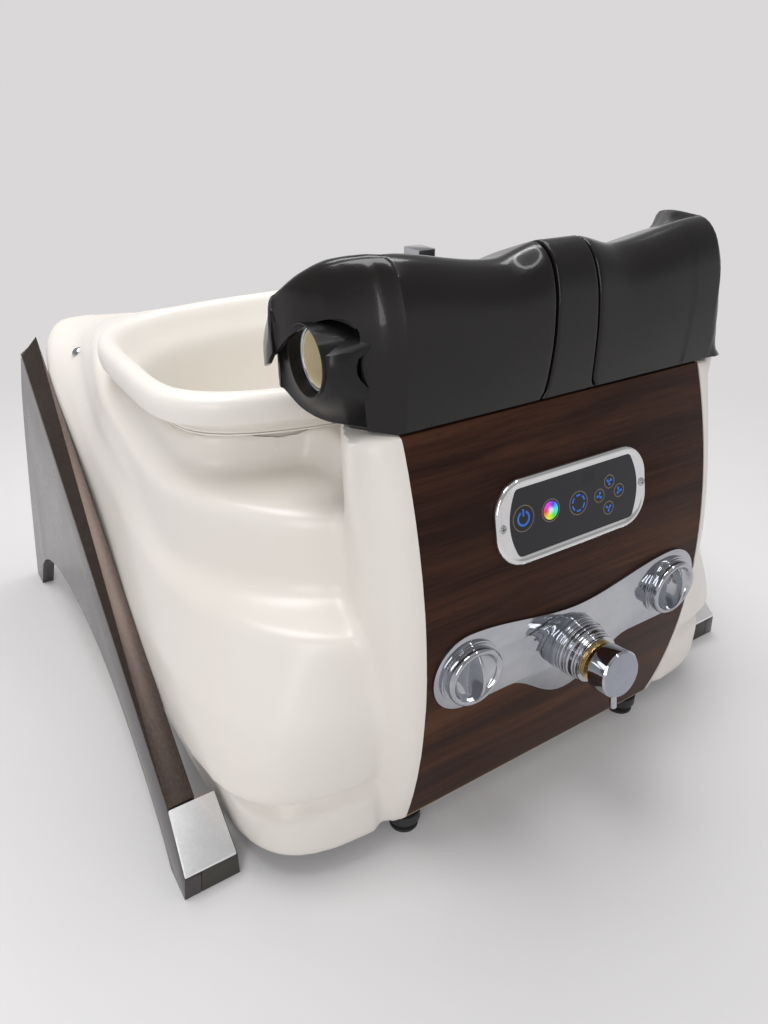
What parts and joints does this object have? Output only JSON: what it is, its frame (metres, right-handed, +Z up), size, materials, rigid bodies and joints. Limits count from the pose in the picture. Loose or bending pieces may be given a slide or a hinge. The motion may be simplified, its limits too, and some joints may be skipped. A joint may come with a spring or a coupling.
{
  "type": "pedicure spa foot tub base",
  "caption": "Foot-tub base of a pedicure spa chair: moulded shell and bowl between raking arms, with a split footrest, curved veneered front, keypad, mixer and diverters.",
  "frame": {"origin": "on the floor, under the middle of the base's outline", "axes": "+Z up; -Y towards the technician, with the keypad and mixer; +Y towards the seat; the sprayer socket is at -X"},
  "size_m": [0.768, 0.8275, 0.5679],
  "materials": {
    "acrylic": "glossy cream-white moulded acrylic",
    "charcoal": "glossy charcoal moulding",
    "veneer": "dark walnut veneer on plywood, satin",
    "softwood": "plain batten",
    "lacquer": "glossy purple-grey lacquer",
    "bronze": "brushed dark bronze",
    "toe_plastic": "dark olive-brown, satin",
    "alloy": "brushed along its length",
    "chrome": "polished, lightly worn",
    "brass": "bare brass",
    "copper": "copper tube",
    "frame_steel": "black powder coat",
    "zinc": "zinc plated",
    "rubber": "matte black",
    "cream_plastic": "cream, satin",
    "dark_glass": "back-printed dark glass",
    "electronics": "black housing",
    "white_plastic": "white, satin",
    "lens": "frosted lens"
  },
  "bodies": {
    "base": {"outer_shell": "acrylic", "basin_bowl": "acrylic", "bowl_gasket": "rubber", "front_panel": "veneer", "panel_cleats": "softwood", "side_panel_left": "lacquer", "side_panel_right": "lacquer", "trim_strip_left": "bronze", "trim_strip_right": "bronze", "toe_block_left": "toe_plastic", "toe_block_right": "toe_plastic", "toe_cap_left": "alloy", "toe_cap_right": "alloy", "arm_bolts": "zinc", "front_crossbar": "frame_steel", "rear_crossbar": "frame_steel", "frame_rail_left": "frame_steel", "frame_rail_right": "frame_steel", "levelling_feet": "rubber", "jam_nuts": "zinc", "deck_caps": "chrome", "footrest_pad_left": "charcoal", "footrest_pad_right": "charcoal", "footrest_spine": "charcoal", "footrest_plate": "frame_steel", "sprayer_pocket": "charcoal", "sprayer_ring": "brass", "sprayer_sleeve": "cream_plastic", "spout_base": "chrome", "spout": "chrome", "keypad_bezel": "chrome", "keypad_glass": "dark_glass", "bezel_screws": "zinc", "control_module": "electronics", "valve_plate": "chrome", "diverter_collar_left": "chrome", "diverter_collar_right": "chrome", "diverter_body_left": "brass", "diverter_body_right": "brass", "mixer_flange": "chrome", "mixer_sleeve": "chrome", "mixer_body": "brass", "cross_pipes": "copper", "hot_pipe": "copper", "cold_pipe": "copper", "drain_flange": "chrome", "drain_tailpiece": "white_plastic", "jet_ring": "chrome", "jet_cover": "white_plastic", "jet_motor": "electronics", "lamp_ring": "chrome", "lamp_lens": "lens"},
    "left_diverter": {"diverter_knob_left": "chrome"},
    "right_diverter": {"diverter_knob_right": "chrome"},
    "mixer_arm": {"mixer_swivel": "brass"},
    "mixer_handle": {"mixer_cap": "chrome", "mixer_lever": "chrome"},
    "stopper": {"drain_stopper": "chrome"},
    "impeller": {"jet_impeller": "white_plastic"}
  },
  "joints": [
    {"name": "left_diverter_turn", "type": "hinge", "parent": "base", "child": "left_diverter", "pos_m": [-0.128, -0.36, 0.222], "axis": [0, -1, 0], "range_deg": [-90, 90]},
    {"name": "right_diverter_turn", "type": "hinge", "parent": "base", "child": "right_diverter", "pos_m": [0.128, -0.36, 0.222], "axis": [0, -1, 0], "range_deg": [-90, 90]},
    {"name": "mixer_temperature", "type": "hinge", "parent": "base", "child": "mixer_arm", "pos_m": [0, -0.36, 0.2], "axis": [0, -1, 0], "range_deg": [-45, 45]},
    {"name": "mixer_flow", "type": "hinge", "parent": "mixer_arm", "child": "mixer_handle", "pos_m": [0, -0.392, 0.2], "axis": [1, 0, 0], "range_deg": [-4, 22]},
    {"name": "stopper_lift", "type": "slide", "parent": "base", "child": "stopper", "axis": [0, 0, 1], "range_m": [0, 0.01]},
    {"name": "impeller_spin", "type": "hinge", "parent": "base", "child": "impeller", "pos_m": [0, 0.15081, 0.24], "axis": [0, -0.9859, 0.1674], "continuous": true}
  ]
}
